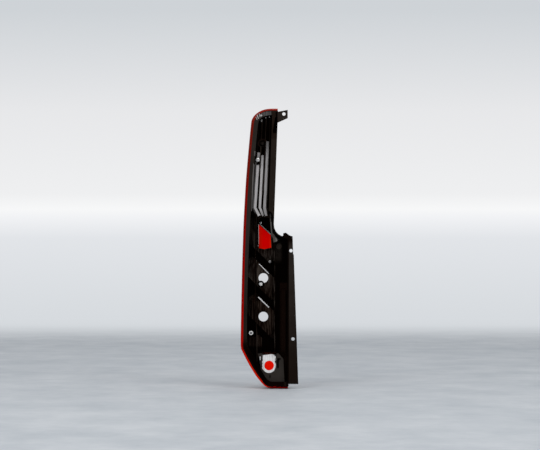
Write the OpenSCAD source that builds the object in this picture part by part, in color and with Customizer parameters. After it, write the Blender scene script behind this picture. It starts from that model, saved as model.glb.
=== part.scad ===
// Rear lamp cluster for a tall van: a narrow black housing with a red lens over its front.
// X runs across the lamp, -Y points out of its back towards the vehicle and +Z points up.
// The origin lies midway between the two holes of the side flange, on the flange's back face.

/* [Outline] */
// Height of the lens edge above the origin
top_z = 485; // [470:1:500]
// Depth of the lens edge below the origin
bottom_z = 244; // [240:1:260]
// Reach of the lens to the left at its lower knee
knee_x = 134; // [130:1:140]
// Depth of the knee below the origin
knee_z = 134; // [125:1:145]
// Reach of the lens to the left where the top shoulder starts
shoulder_x = 105.5; // [103:0.5:109]
// Width of the top shoulder curve
shoulder_w = 53; // [48:1:56]
// Height of the top shoulder curve
shoulder_h = 40; // [34:1:50]
// Bow of the long left side
side_bow = 8; // [5:0.5:11]
// Radius of the round at the foot of the slanted lower edge
toe_r = 40; // [34:1:46]
// Distance of that round's centre to the left of the origin
toe_x = 49; // [45:1:53]
// Distance of the column's right edge to the left of the origin, at the top
column_top_x = 36; // [33:0.5:39]
// Distance of the column's right edge to the left of the origin, at the waist
column_low_x = 47; // [45:0.5:49]
// Height of the waist, where the lower body starts
waist_z = 152; // [148:1:156]
// Width of the hollow curve at the waist
waist_w = 27.5; // [25:0.5:30]
// Height of the hollow curve at the waist
waist_h = 31; // [26:1:36]
// Distance of the lower body's right edge to the left of the origin
body_x = 9; // [8:0.5:10]

/* [Housing] */
// Width of the lens edge that shows round the rim
lens_show = 6; // [5:0.1:6.4]
// Width of the flat rim band
rim_w = 11; // [9.5:0.5:12.5]
// Width of the flat band down the right side of the column
column_band = 15; // [13:0.5:16]
// Height above the waist over which that band tapers off
band_taper_h = 35; // [30:1:40]
// Thickness of the rim and the flange
rim_t = 3; // [2:0.25:3.5]
// Thickness of the moulded walls
wall = 2.5; // [2:0.1:2.8]
// Depth of the main floor behind the rim
floor_y = 38; // [35:0.5:40]
// Depth of the column's floor behind the rim
column_y = 17; // [15:0.5:19]
// Depth of the backs of the bulb chambers behind the rim
chamber_y = 9; // [8:0.5:11]
// Radius of the bulged backs of the bulb chambers
dome_r = 110; // [100:1:130]
// Depth of the upright ribs behind the rim
rib_y = 7; // [5:0.5:9]
// Thickness of the upright ribs
rib_t = 2.4; // [1.8:0.1:3]
// Width of the shallow flutes in the chamber backs
flute_w = 1.8; // [1.2:0.1:2.4]
// Depth of the fog lamp's pocket panel behind the rim
pocket_y = 15; // [13:0.5:17]

/* [Bulb openings] */
// Radius of the bulb openings
bulb_r = 12.6; // [12.4:0.1:13.4]
// Distance of the two middle bulbs to the left of the origin
bulb_x = 74.5; // [73:0.5:76]
// Height of the indicator bulb
indicator_z = 43.5; // [42:0.5:45]
// Spacing between the two middle bulbs
bulb_pitch = 100.5; // [99:0.5:102]
// Radius of the fog bulb's opening
fog_r = 12; // [11:0.1:13]
// Distance of the fog bulb to the left of the origin
fog_x = 59; // [58:0.5:60]
// Depth of the fog bulb below the origin
fog_z = 184.5; // [183:0.5:186]
// Width of the light slits beside the middle bulbs
slit_w = 3.4; // [2.6:0.1:4]

/* [Column slots] */
// Width of the outer slot
slot_w1 = 7.2; // [6:0.1:8]
// Width of the middle slot
slot_w2 = 6.4; // [5:0.1:7]
// Width of the inner slot
slot_w3 = 7.6; // [6:0.1:8]
// Thickness of the ribs between the slots
slot_rib = 2.4; // [1.8:0.1:2.8]

/* [Fixings] */
// Spacing of the two flange holes along the height
flange_pitch = 229.6; // [226:0.1:233]
// Sideways step from the upper to the lower flange hole
flange_step = 5.2; // [4.6:0.1:5.8]
// Radius of the holes in the flange and the ear
fixing_r = 4.4; // [3.5:0.1:4.6]
// Height of the ear's hole
ear_z = 470.2; // [468:0.1:472]
// Distance of the ear's hole to the left of the origin
ear_x = 21.1; // [20:0.1:22]
// Depth of the flange's foot below the origin
flange_foot_z = 232; // [228:1:236]
// Outer radius of the threaded insert
insert_r = 5.6; // [5:0.1:6]
// Bore radius of the threaded insert
insert_bore_r = 2.5; // [2:0.1:3]
// Length of the threaded insert
insert_h = 12; // [9:0.5:15]
// Radius of the reflector screws' shanks
screw_r = 1.9; // [1.5:0.1:2.1]

/* [Lens] */
// Depth of the lens front behind the rim, at its highest
lens_depth = 96; // [90:1:105]
// Fall of the lens front towards its ends
lens_drop = 20; // [10:1:24]
// Thickness of the lens
lens_t = 3; // [2.6:0.1:3.2]
// Height of the upper edge of the clear band
clear_top_z = 100; // [96:1:104]
// Depth of the lower edge of the clear band below the origin
clear_foot_z = 110; // [106:1:114]

/* [Inner parts] */
// Thickness of the reflectors
reflector_t = 1.4; // [1:0.1:1.8]
// Thickness of the bezel
bezel_t = 2; // [1.5:0.1:2.5]
// Height of the dividers on the bezel
divider_h = 14; // [10:1:16]
// Height of the reflex insert
reflex_h = 70; // [60:1:76]
// Thickness of the reflex insert
reflex_t = 4; // [3:0.5:6]
// Clearance between parts that fit into each other
fit = 0.4; // [0.3:0.05:0.5]

/* [Hidden] */
$fn = 48;

black = [0.13, 0.12, 0.11];
red = [0.75, 0.05, 0.02];
clear = [0.85, 0.88, 0.92, 0.6];
silver = [0.8, 0.8, 0.8];
steel = [0.6, 0.59, 0.57];

// Levels along the depth, counted from the rim's back face towards the lens
floor_front = floor_y + wall;
column_front = column_y + wall;
bezel_y = floor_front + reflector_t;
bezel_front = bezel_y + bezel_t;
weld_wall_y = 14;
lens_back = rim_t + fit;
beyond = 200;

// The tangent from the knee to the round at the toe
shoulder_z = top_z - shoulder_h;
waist_top_z = waist_z + waist_h;
waist_corner = 6;
waist_step = column_low_x - waist_w - body_x;
toe = [-toe_x, -bottom_z + toe_r];
knee = [-knee_x, -knee_z];
toe_angle = atan2(knee[1] - toe[1], knee[0] - toe[0]) + acos(toe_r / norm(knee - toe));
toe_touch = toe + toe_r * [cos(toe_angle), sin(toe_angle)];

// The left edge of the lens at a height: shoulder, bowed side, slanted edge and toe
function left_at(z) =
    z >= shoulder_z
        ? -shoulder_x + shoulder_w * (1 - sqrt(max(0, 1 - pow((z - shoulder_z) / shoulder_h, 2))))
    : z >= knee[1] ? bowed_side((z - knee[1]) / (shoulder_z - knee[1]))
    : z >= toe_touch[1] ? knee[0] + (toe_touch[0] - knee[0]) * (z - knee[1]) / (toe_touch[1] - knee[1])
    : toe[0] - sqrt(max(0, toe_r * toe_r - pow(z - toe[1], 2)));

function bowed_side(u) = -knee_x + (knee_x - shoulder_x) * u - 4 * side_bow * u * (1 - u);

// The right edge of the housing at a height: column, hollow waist, corner and lower body
function right_at(z) =
    z >= waist_top_z
        ? -column_low_x + (column_low_x - column_top_x) * (z - waist_top_z) / (top_z - waist_top_z)
    : z >= waist_z ? -column_low_x + waist_w * (1 - sqrt(max(0, 1 - pow((z - waist_top_z) / waist_h, 2))))
    : z >= waist_z - waist_corner ? -body_x - waist_step * (z - waist_z + waist_corner) / waist_corner
    : -body_x;

// Heights from the top down at which both edges are taken
shoulder_steps = 6;
side_steps = 7;
waist_steps = 5;
band_steps = 6;
body_steps = 6;
toe_steps = 5;
heights = concat(
    [for (i = [0 : shoulder_steps - 1]) shoulder_z + shoulder_h * cos(90 * i / shoulder_steps)],
    [for (i = [0 : side_steps - 1]) shoulder_z + (waist_top_z - shoulder_z) * i / side_steps],
    [for (i = [0 : waist_steps]) waist_top_z - waist_h * sin(90 * i / waist_steps)],
    [for (i = [0 : body_steps])
        waist_z - waist_corner + (knee[1] - waist_z + waist_corner) * i / body_steps],
    [(knee[1] + toe_touch[1]) / 2],
    [for (i = [0 : toe_steps]) toe[1] + toe_r * sin(toe_angle + (270 - toe_angle) * i / toe_steps)]
);
rows = len(heights);
outline = concat(
    [for (z = heights) [left_at(z), z]],
    [for (i = [rows - 1 : -1 : 0]) [right_at(heights[i]), heights[i]]]
);

// Wedge-shaped pocket beside the column's band, under the ear
wedge = [[-39.5, 462], [-44, 462], [-50, 424], [-35, 424], [-35, 443], [-39.5, 446]];
wedge_y = 14;

// Slanted facet along the top of the rim
facet_right = -53;
facet_w = 34;
facet_tilt = 10;

// Centre lines of the three slots, as [top, knee, foot], and of the ribs beside them
slot_paths = [
    [[-86.5, 371], [-96.2, 227], [-85, 205.5]],
    [[-76.5, 364], [-83.8, 227], [-74.6, 205.5]],
    [[-63.2, 400], [-71.3, 227], [-68.2, 205.5]]
];
slot_widths = [slot_w1, slot_w2, slot_w3];
rib_paths = [
    [[-86.5, 450], [-91, 378], [-101.8, 227], [-92.5, 206.5]],
    [[-77.5, 456], [-81.5, 371], [-89.9, 227], [-79.8, 205.5]],
    [[-67, 460], [-70.2, 390], [-77.6, 227], [-71.4, 205.5]],
    [[-57, 464], [-58.6, 400], [-66.4, 227], [-63, 205.5]]
];

// Lower edge of the column's floor: slanted on the left, level under the slots
column_foot_z = 204;
column_foot = [[-beyond, 277], [-88.5, 200.5], [-84, column_foot_z], [beyond, column_foot_z]];

// Ridge that follows the hollow waist, with its heights counted from the waist
waist_ridge = [
    [-56, 38], [-55, 20], [-52.5, 0], [-49, -15], [-34, -16], [-38, -9], [-45, 1], [-50, 16], [-52.5, 38]
];

// Places of the small fixings
breather = [-76.7, 393.5];
upper_screw = [-88.9, 351.7];
stop_screw_a = [-81, 187.5];
stop_screw_b = [-57.5, 86];
indicator_screw = [-81, 28];
insert = [-106.6, -99.5];
ear_foot = [[-42, 446], [-11.2, 459.8]];

// Levels on which the small fixings sit
breather_seat = 14;
upper_seat = 11;
indicator_seat = 10;
stop_seat_b = 24;
insert_y = 4;

// Radii of the two larger screw heads, and the tail of the breather's boss
upper_head_r = 5.9;
indicator_head_r = 5.6;
breather_tail = [[-6.6, -2], [6.6, -2], [1.6, -17], [-1.6, -17]];

// Reach of each screw behind its head
upper_reach = 18;
stop_reach_a = 7;
stop_reach_b = 17.5;
indicator_reach = 11;

// Heights of the reflex insert's foot and of the upper reflector's top
reflex_foot_z = 222;
upper_reflector_top_z = 430;

// Bulb centres, and the dome centre of the stop chamber
indicator = [-bulb_x, indicator_z];
reversing = [-bulb_x, indicator_z - bulb_pitch];
fog = [-fog_x, -fog_z];
stop_centre = [-68, 150];

// Slanted chambers: the heights of their lower and upper edges on the bulbs' upright line
bay_right = -46.5;
left_rib = [[-93, 206], [-94.7, 116], [-96.2, 60], [-95, 0], [-92.6, -52], [-90.5, -174]];
right_rib_x = -45.4;
stop_foot_z = 98;
indicator_edges = [indicator[1] - 36, indicator[1] + 28.5];
reversing_edges = [reversing[1] - 35, reversing[1] + 41.5];
slit_span = [[-11.3, 36.9], [14.7, 10.7]];
reversing_slit_drop = 13;
side_flutes = [-113 : 4.5 : -95];
middle_flutes = [-85 : 4.5 : -58];
flute_depth = 0.9;

// Window of the stop chamber, and the slanted edge of the baffle across its upper part
stop_window = [
    [-86, 121.5], [-72.5, 118.5], [-54, 122.5], [-56, 158],
    [-57.5, 196], [-62, 202], [-81.5, 202], [-86.5, 197]
];
baffle_edge = [[-88, 185.5], [-53, 155]];

// Panel of the fog lamp's pocket, and the bulb notch in it
pocket = [[-90.5, -148], [-39.5, -148], [-22.4, -167.8], [-18.7, -240], [-64, -240], [-77.7, -205]];
notch_r = 18.2;
notch_top_z = -148;

// A shape in the X-Z plane, made solid between two depths
module plate(y0, y1) {
    translate([0, y1, 0])
        rotate([90, 0, 0])
            linear_extrude(height = y1 - y0)
                children();
}

// A round bar or hole along the depth
module rod(p, y0, y1, r) {
    translate([p[0], y1, p[1]])
        rotate([90, 0, 0])
            cylinder(h = y1 - y0, r = r);
}

// A turned piece on an axis along the depth, with its profile as [radius, depth]
module turned(p, y, profile) {
    translate([p[0], y, p[1]])
        rotate([-90, 0, 0])
            rotate_extrude()
                polygon(profile);
}

// A ball whose back pole lies at a depth
module ball(p, y, r, shrink = 0) {
    translate([p[0], y + r, p[1]])
        sphere(r = r - shrink);
}

// A strip of constant width along a path
module strip(path, w) {
    n = len(path);
    sides = [for (i = [0 : n - 1]) let (
        along = path[min(i + 1, n - 1)] - path[max(i - 1, 0)]
    ) [along[1], -along[0]] / norm(along) * w / 2];
    polygon(concat(
        [for (i = [0 : n - 1]) path[i] + sides[i]],
        [for (i = [n - 1 : -1 : 0]) path[i] - sides[i]]
    ));
}

module body_shape() {
    polygon(outline);
}

// Everything to the right of the lens's left, top and bottom edges
module left_region() {
    polygon(concat(
        [for (z = heights) [left_at(z), z]],
        [[beyond, -bottom_z], [beyond, top_z]]
    ));
}

module rim_shape() {
    intersection() {
        body_shape();
        offset(delta = -lens_show) left_region();
    }
}

// The part of a shape between two heights
module band(z0, z1) {
    intersection() {
        children();
        translate([-beyond, z0])
            square([2 * beyond, z1 - z0]);
    }
}

// The opening inside the rim: narrow in the column, wide in the lower body
module recess_shape() {
    difference() {
        intersection() {
            offset(delta = -lens_show - rim_w) left_region();
            offset(delta = -wall) body_shape();
        }
        // The column's flat band, rounded off above the waist
        polygon(concat(
            [[beyond, waist_top_z], [beyond, top_z], [right_at(top_z) - column_band, top_z]],
            [for (i = [band_steps : -1 : 0])
                let (turn = 90 * i / band_steps, z = waist_top_z + band_taper_h * sin(turn))
                [right_at(z) + 1 - (column_band + 1) * (1 - cos(turn)), z]]
        ));
    }
}

module walled_recess() {
    intersection() {
        offset(delta = wall) recess_shape();
        rim_shape();
    }
}

// The strip along the right edge that carries the lens there
module right_wall_shape() {
    intersection() {
        difference() {
            rim_shape();
            offset(delta = -wall) rim_shape();
        }
        polygon(concat(
            [for (z = heights) [right_at(z) - 4 * wall, z]],
            [[beyond, -bottom_z], [beyond, top_z]]
        ));
    }
}

// All that lies above the column's foot, lowered by a step
module above_foot(drop = 0) {
    polygon(concat(
        [for (p = column_foot) p - [0, drop]],
        [[beyond, top_z], [-beyond, top_z]]
    ));
}

// A chamber's outline between two edges that slant down to the right
module slanted(edges) {
    rise = beyond - bulb_x;
    fall = -bulb_x - bay_right;
    intersection() {
        polygon([
            [-beyond, edges[0] + rise], [bay_right, edges[0] + fall],
            [bay_right, edges[1] + fall], [-beyond, edges[1] + rise]
        ]);
        recess_shape();
    }
}

module stop_shape() {
    difference() {
        intersection() {
            polygon([
                [-beyond, stop_foot_z + beyond - bulb_x], [bay_right, stop_foot_z - bulb_x - bay_right],
                [bay_right, top_z], [-beyond, top_z]
            ]);
            recess_shape();
        }
        above_foot();
    }
}

// The window's lower part, under the baffle
module stop_light_shape(grow = 0) {
    up = [0, grow];
    intersection() {
        offset(delta = grow) polygon(stop_window);
        polygon([
            [-beyond, 0], [0, 0], baffle_edge[1] + up, baffle_edge[0] + up, [-beyond, baffle_edge[0][1]]
        ]);
    }
}

module pocket_shape() {
    intersection() {
        polygon(pocket);
        recess_shape();
    }
}

module slit_shape(centre, drop) {
    strip([for (p = slit_span) centre + p - [0, drop]], slit_w);
}

// The inside of a bulged chamber, shrunk by a wall on every side but its open front
module chamber_space(centre, y, shrink, front) {
    intersection() {
        plate(0, front)
            offset(delta = -shrink) children();
        ball(centre, y, dome_r, shrink);
    }
}

module chamber_shell(centre, y) {
    difference() {
        chamber_space(centre, y, 0, floor_front)
            children();
        chamber_space(centre, y, wall, floor_front + 1)
            children();
    }
}

// Shallow upright flutes in a chamber's back, between two heights above its bulb
module flutes(centre, y, xs, from, to) {
    difference() {
        for (x = xs)
            translate([x - flute_w / 2, 0, centre[1] + from])
                cube([flute_w, floor_y, to - from]);
        ball(centre, y, dome_r, flute_depth);
    }
}

module housing_floor() {
    // Flat floor behind the chambers, open under each of them
    difference() {
        plate(floor_y, floor_front)
            difference() {
                walled_recess();
                above_foot();
                offset(delta = -wall) pocket_shape();
                stop_light_shape();
            }
        chamber_space(indicator, chamber_y, wall, floor_front + 1)
            slanted(indicator_edges);
        chamber_space(reversing, chamber_y, wall, floor_front + 1)
            slanted(reversing_edges);
    }
    // Floor of the column, nearer the rim, with its three slots
    plate(column_y, column_front)
        difference() {
            intersection() {
                walled_recess();
                above_foot(wall);
            }
            for (i = [0 : 2])
                strip(slot_paths[i], slot_widths[i]);
        }
    plate(column_y, floor_front)
        difference() {
            intersection() {
                walled_recess();
                above_foot(wall);
            }
            above_foot();
        }
}

module housing_walls() {
    plate(0, rim_t)
        difference() {
            rim_shape();
            recess_shape();
        }
    plate(0, weld_wall_y)
        difference() {
            rim_shape();
            offset(delta = -wall) rim_shape();
        }
    plate(0, floor_front)
        difference() {
            walled_recess();
            recess_shape();
        }
    plate(0, floor_front)
        right_wall_shape();
}

module housing_ribs() {
    // Upright ribs behind the chambers, open inside them
    difference() {
        plate(rib_y, floor_y)
            intersection() {
                union() {
                    strip(left_rib, rib_t);
                    strip([[right_rib_x, waist_top_z], [right_rib_x, -156]], rib_t);
                }
                offset(delta = 1) recess_shape();
            }
        chamber_space(stop_centre, chamber_y - 1, wall, floor_y)
            stop_shape();
        chamber_space(indicator, chamber_y, wall, floor_y)
            slanted(indicator_edges);
        chamber_space(reversing, chamber_y, wall, floor_y)
            slanted(reversing_edges);
    }
    plate(rib_y, column_y)
        intersection() {
            for (path = rib_paths)
                strip(path, slot_rib);
            offset(delta = 1) recess_shape();
        }
    // Raised ridge that follows the hollow waist inside the lower body
    plate(rib_y - 3, floor_y)
        polygon([for (p = waist_ridge) p + [0, waist_z]]);
}

module housing_chambers() {
    difference() {
        chamber_shell(stop_centre, chamber_y - 1)
            stop_shape();
        plate(0, floor_y)
            offset(delta = 2) polygon(stop_window);
        flutes(stop_centre, chamber_y - 1, side_flutes, -60, 60);
    }
    plate(chamber_y, floor_y)
        difference() {
            offset(delta = 2) polygon(stop_window);
            polygon(stop_window);
        }
    plate(floor_y - 7, floor_y)
        intersection() {
            strip(baffle_edge, 2);
            offset(delta = 1) polygon(stop_window);
        }
    difference() {
        chamber_shell(indicator, chamber_y)
            slanted(indicator_edges);
        flutes(indicator, chamber_y, side_flutes, -60, 60);
        flutes(indicator, chamber_y, middle_flutes, bulb_r - 2, 60);
        rod(indicator, 0, floor_y, bulb_r);
        plate(0, floor_y)
            slit_shape(indicator, 0);
    }
    difference() {
        chamber_shell(reversing, chamber_y)
            slanted(reversing_edges);
        flutes(reversing, chamber_y, side_flutes, -60, 60);
        flutes(reversing, chamber_y, middle_flutes, bulb_r - 2, 60);
        rod(reversing, 0, floor_y, bulb_r);
        plate(0, floor_y)
            slit_shape(reversing, -reversing_slit_drop);
    }
}

module housing_pocket() {
    difference() {
        plate(pocket_y, floor_front)
            pocket_shape();
        plate(pocket_y + wall, floor_front + 1)
            offset(delta = -wall) pocket_shape();
        plate(0, floor_y)
            intersection() {
                union() {
                    translate(fog)
                        circle(r = notch_r);
                    translate([fog[0] - notch_r, fog[1]])
                        square([2 * notch_r, notch_top_z - fog[1] + 10]);
                }
                offset(delta = -wall) pocket_shape();
            }
    }
    // Steps and panels on the lower floor
    plate(22, floor_y)
        polygon([[-92, -106], [-85, -106], [-78, -114], [-78, -150], [-91, -150]]);
    plate(26, floor_y)
        intersection() {
            union() {
                translate([-27.5, -150])
                    square([11, 162]);
                translate([-118, -200])
                    square([26, 90]);
            }
            recess_shape();
        }
    rod([-33.8, waist_z - 26], 16, floor_y, 7.6);
}

module flange_shape() {
    // Side flange with its step below the upper hole, and the small nib above it
    polygon([
        [-body_x - 1, -flange_foot_z], [16.4, -flange_foot_z], [4.7, 104], [3, 107], [1.6, waist_z],
        [-6.2, waist_z + 2.5], [-16, waist_z + 9.8], [-22.4, waist_z + 8.4], [-24, waist_z - 2],
        [-body_x - 1, waist_z - 8]
    ]);
    // Ear beside the top of the column
    polygon(concat(ear_foot, [[-11.2, 480.9], [-42, 475]]));
}

module housing() {
    color(black)
        difference() {
            union() {
                housing_walls();
                housing_floor();
                housing_ribs();
                housing_chambers();
                housing_pocket();
                plate(0, rim_t)
                    flange_shape();
                // Return along the ear's lower edge
                plate(0, 3 * rim_t)
                    strip([for (p = ear_foot) p + [0, 1]], 2);
                // Bosses of the breather, the screws and the threaded insert
                rod(breather, breather_seat, column_front, 7);
                plate(breather_seat, column_front)
                    polygon([for (p = breather_tail) breather + p]);
                rod(upper_screw, upper_seat, column_front, upper_head_r + 1.3);
                rod(upper_screw - [0, 7], upper_seat + 1, column_front, upper_head_r + 0.3);
                rod(indicator_screw, 5, chamber_y + wall + 1, indicator_head_r + 3);
                rod(stop_screw_b, stop_seat_b, floor_front, 4.6);
                rod(insert, insert_y, floor_y, insert_r + wall);
                // Blind wedge-shaped pocket beside the column's band
                plate(0, wedge_y + wall)
                    intersection() {
                        offset(delta = wall) polygon(wedge);
                        rim_shape();
                    }
            }
            for (side = [-1, 1])
                rod([side * flange_step / 2, -side * flange_pitch / 2], -1, rim_t + 1, fixing_r);
            rod([-ear_x, ear_z], -1, rim_t + 1, fixing_r);
            rod(breather, 0, breather_seat, 8.2);
            rod(breather, 0, floor_y, 3.2);
            rod(upper_screw, 0, upper_seat, upper_head_r + fit);
            rod(upper_screw, 0, floor_y, screw_r + fit);
            rod(indicator_screw, 0, indicator_seat, indicator_head_r + fit);
            rod(indicator_screw, 0, 20, screw_r + fit);
            rod(stop_screw_a, floor_y - 1, floor_front + 1, screw_r + fit);
            rod(stop_screw_b, 0, floor_front + 1, screw_r + fit);
            rod(insert, 0, insert_y + insert_h, insert_r + fit / 2);
            plate(-1, wedge_y)
                polygon(wedge);
            // Slanted facet along the top of the rim
            translate([facet_right, 0, top_z - lens_show - rim_w])
                rotate([-facet_tilt, 0, 0])
                    translate([-facet_w, -2 * rim_w, 0])
                        cube([facet_w, 2 * rim_w, 3 * rim_w]);
        }
}

// Rings of the lens from its back edge to its crown: inset from the outline, and drop from the crown
ring_insets = [1, 0, 2, 8, 18];
ring_drops = [0, 0, 34, 14, 5];
ring_thin = [[1.25, 0], [1.25, 0], [0.98, 0.2], [0.75, 0.75], [0.35, 0.95]];
ring_count = len(ring_insets);
ring_size = 2 * rows;
right_share = 0.35;
right_drop_share = 0.6;
right_gap = 0.6;

function crown_at(z) = lens_depth - lens_drop * pow((2 * z - top_z + bottom_z) / (top_z + bottom_z), 2);
function is_right(i) = i >= rows;
function is_corner(i) = i == rows || i == ring_size - 1;
function inward(a, b) = [a[1] - b[1], b[0] - a[0]] / norm(b - a);

// A point of the left side, the top or the foot moved straight inwards
function inset_left(i, d) =
    let (
        n1 = inward(outline[(i + ring_size - 1) % ring_size], outline[i]),
        n2 = inward(outline[i], outline[i + 1])
    )
    outline[i] + (n1 + n2) * d / (1 + n1 * n2);

// A point of the right side, drawn towards the middle with the ends and moved inwards by less
function inset_right(i, d, t) =
    let (
        z = height_of(i),
        middle = (top_z - bottom_z) / 2,
        at = z - (d + t) * (z - middle) / (top_z - middle),
        n = inward([right_at(at - 1), at - 1], [right_at(at + 1), at + 1])
    )
    [right_at(at), at] + n * (right_gap + right_share * d + t);

function inset_point(i, d, t) = is_right(i) ? inset_right(i, d, t) : inset_left(i, d + t);

function height_of(i) = is_right(i) ? heights[ring_size - 1 - i] : heights[i];

// The right side starts at the housing's front, and every other side at its rim
function ring_depth(k, i, t) =
    k == 0 ? (is_right(i) && !is_corner(i) ? floor_front + fit : lens_back)
    : k == 1 ? (is_right(i) && !is_corner(i) ? floor_front + 4 : weld_wall_y)
    : crown_at(height_of(i)) - (is_right(i) ? right_drop_share : 1) * ring_drops[k] - t * ring_thin[k][1];

function ring_points(t) = [
    for (k = [0 : ring_count - 1], i = [0 : ring_size - 1])
        let (p = inset_point(i, ring_insets[k], t * ring_thin[k][0]))
        [p[0], ring_depth(k, i, t), p[1]]
];

// Points down the middle of the crown
function ridge_points(t) = [
    for (i = [1 : rows - 2])
        let (
            a = inset_point(i, ring_insets[ring_count - 1], t * ring_thin[ring_count - 1][0]),
            b = inset_point(ring_size - 1 - i, ring_insets[ring_count - 1], t * ring_thin[ring_count - 1][0])
        )
        [(a[0] + b[0]) / 2, crown_at(heights[i]) - t, (a[1] + b[1]) / 2]
];

function flip(faces) = [for (f = faces) [f[2], f[1], f[0]]];

function side_faces(base) = [
    for (k = [0 : ring_count - 2], i = [0 : ring_size - 1], half = [0, 1])
        let (
            a = base + k * ring_size + i,
            b = base + k * ring_size + (i + 1) % ring_size
        )
        half == 0 ? [a, b, b + ring_size] : [a, b + ring_size, a + ring_size]
];

function crown_faces(base, ridge) =
    let (
        last = base + (ring_count - 1) * ring_size,
        far = last + ring_size - 1
    )
    concat(
        [[last, last + 1, ridge], [last, ridge, far], [far, ridge, far - 1]],
        [for (i = [1 : rows - 3], half = [0 : 3])
            let (l = last + i, m = ridge + i - 1, r = far - i)
            half == 0 ? [l, l + 1, m + 1]
            : half == 1 ? [l, m + 1, m]
            : half == 2 ? [m, m + 1, r - 1]
            : [m, r - 1, r]],
        [
            [last + rows - 2, last + rows - 1, ridge + rows - 3],
            [ridge + rows - 3, last + rows - 1, last + rows],
            [ridge + rows - 3, last + rows, last + rows + 1]
        ]
    );

// The whole lens as one shell: an outer skin, an inner skin and the back edge that joins them
module lens_shell() {
    inner = ring_count * ring_size;
    ridge = 2 * inner;
    polyhedron(
        points = concat(ring_points(0), ring_points(lens_t), ridge_points(0), ridge_points(lens_t)),
        faces = concat(
            side_faces(0),
            crown_faces(0, ridge),
            flip(side_faces(inner)),
            flip(crown_faces(inner, ridge + rows - 2)),
            [for (i = [0 : ring_size - 1], half = [0, 1])
                let (j = (i + 1) % ring_size)
                half == 0 ? [inner + i, inner + j, j] : [inner + i, j, i]]
        )
    );
}

// The block of space that the clear band of the lens fills
module clear_block(gap) {
    x0 = -knee_x + 20 + gap;
    x1 = -body_x - 10 - gap;
    translate([x0, lens_depth / 2, -clear_foot_z + gap])
        cube([x1 - x0, lens_depth, clear_top_z + clear_foot_z - 2 * gap]);
}

module red_lens() {
    color(red)
        difference() {
            lens_shell();
            clear_block(0);
        }
}

module clear_lens() {
    color(clear)
        intersection() {
            lens_shell();
            clear_block(0.1);
        }
}

module lens_seal() {
    color("dimgray")
        plate(5, 9)
            intersection() {
                difference() {
                    offset(delta = -lens_show + 0.9) left_region();
                    offset(delta = -lens_show) left_region();
                }
                translate([-beyond, -beyond * 2])
                    square([beyond - toe_x - 5, beyond * 5]);
            }
}

// Openings of the bezel, one over each reflector
module bezel_windows() {
    band(300, 446)
        offset(delta = -3) recess_shape();
    offset(delta = -6) stop_shape();
    stop_light_shape(5 + fit);
    offset(delta = -6) slanted(indicator_edges);
    offset(delta = -6) slanted(reversing_edges);
    offset(delta = -5) pocket_shape();
}

module inner_bezel() {
    color([0.2, 0.2, 0.22]) {
        plate(bezel_y, bezel_front)
            difference() {
                intersection() {
                    offset(delta = -6) body_shape();
                    offset(delta = -9.5) left_region();
                }
                bezel_windows();
            }
        plate(bezel_y, bezel_front + divider_h)
            difference() {
                offset(delta = 1.6) bezel_windows();
                bezel_windows();
            }
    }
}

module reflex_insert() {
    color(red)
        plate(bezel_front, bezel_front + reflex_t)
            band(reflex_foot_z, reflex_foot_z + reflex_h)
                offset(delta = -3) recess_shape();
}

module upper_reflector_shape() {
    intersection() {
        band(-bottom_z, upper_reflector_top_z)
            offset(delta = -fit) recess_shape();
        above_foot(-fit);
    }
}

module upper_reflector() {
    color(silver)
        difference() {
            union() {
                plate(column_front, column_front + reflector_t)
                    upper_reflector_shape();
                plate(column_front, floor_front)
                    difference() {
                        upper_reflector_shape();
                        offset(delta = -reflector_t) upper_reflector_shape();
                    }
                rod(upper_screw, column_front, 32, 4.5);
            }
            rod(upper_screw, column_front - 1, 30, screw_r + fit / 4);
            rod(breather, 0, floor_front, 5);
        }
}

module stop_reflector() {
    outer = 3;
    color(silver)
        difference() {
            union() {
                plate(floor_front, bezel_y)
                    offset(delta = -outer) stop_shape();
                plate(floor_front, bezel_y + 12)
                    difference() {
                        stop_light_shape(5);
                        stop_light_shape(5 - reflector_t);
                    }
            }
            plate(floor_front - 1, bezel_y + 1)
                stop_light_shape(1);
            rod(stop_screw_a, floor_y, bezel_y + 20, screw_r + fit / 4);
            rod(stop_screw_b, floor_y, bezel_y + 1, screw_r + fit / 4);
        }
}

// A metallised bowl that lines a slanted chamber, with a lip on the housing's floor
module slanted_bowl(centre, edges, slit_drop) {
    gap = wall + fit;
    difference() {
        union() {
            chamber_space(centre, chamber_y, gap, bezel_y)
                slanted(edges);
            plate(floor_front, bezel_y)
                slanted(edges);
        }
        chamber_space(centre, chamber_y, gap + reflector_t, bezel_y + 1)
            slanted(edges);
        rod(centre, 0, bezel_y, bulb_r + 1);
        plate(0, floor_y)
            slit_shape(centre, slit_drop);
    }
}

module indicator_reflector() {
    color(silver)
        difference() {
            union() {
                slanted_bowl(indicator, indicator_edges, 0);
                rod(indicator_screw, 14, 24, 4.2);
            }
            rod(indicator_screw, 0, 22, screw_r + fit / 4);
        }
}

module reversing_reflector() {
    color(silver)
        slanted_bowl(reversing, reversing_edges, -reversing_slit_drop);
}

module fog_reflector() {
    gap = wall + fit;
    y0 = pocket_y + wall + fit;
    cone = [
        [0, y0], [notch_r + 1, y0], [notch_r + 24, floor_front - 6], [notch_r + 60, floor_front - 4],
        [notch_r + 60, beyond], [0, beyond]
    ];
    color(silver)
        difference() {
            union() {
                intersection() {
                    plate(0, bezel_y)
                        offset(delta = -gap) pocket_shape();
                    turned(fog, 0, cone);
                }
                plate(floor_front, bezel_y)
                    pocket_shape();
            }
            intersection() {
                plate(0, bezel_y + 1)
                    offset(delta = -gap - reflector_t) pocket_shape();
                turned(fog, reflector_t, cone);
            }
            rod(fog, 0, floor_front, fog_r);
        }
}

module breather_cap() {
    color("gray")
        turned(breather, breather_seat - 6, [
            [0, 0], [3, 0], [4.6, 1.2], [5.4, 4], [7.6, 4.6], [7.8, 6], [2.9, 6], [2.9, 15], [0, 15]
        ]);
}

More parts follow.
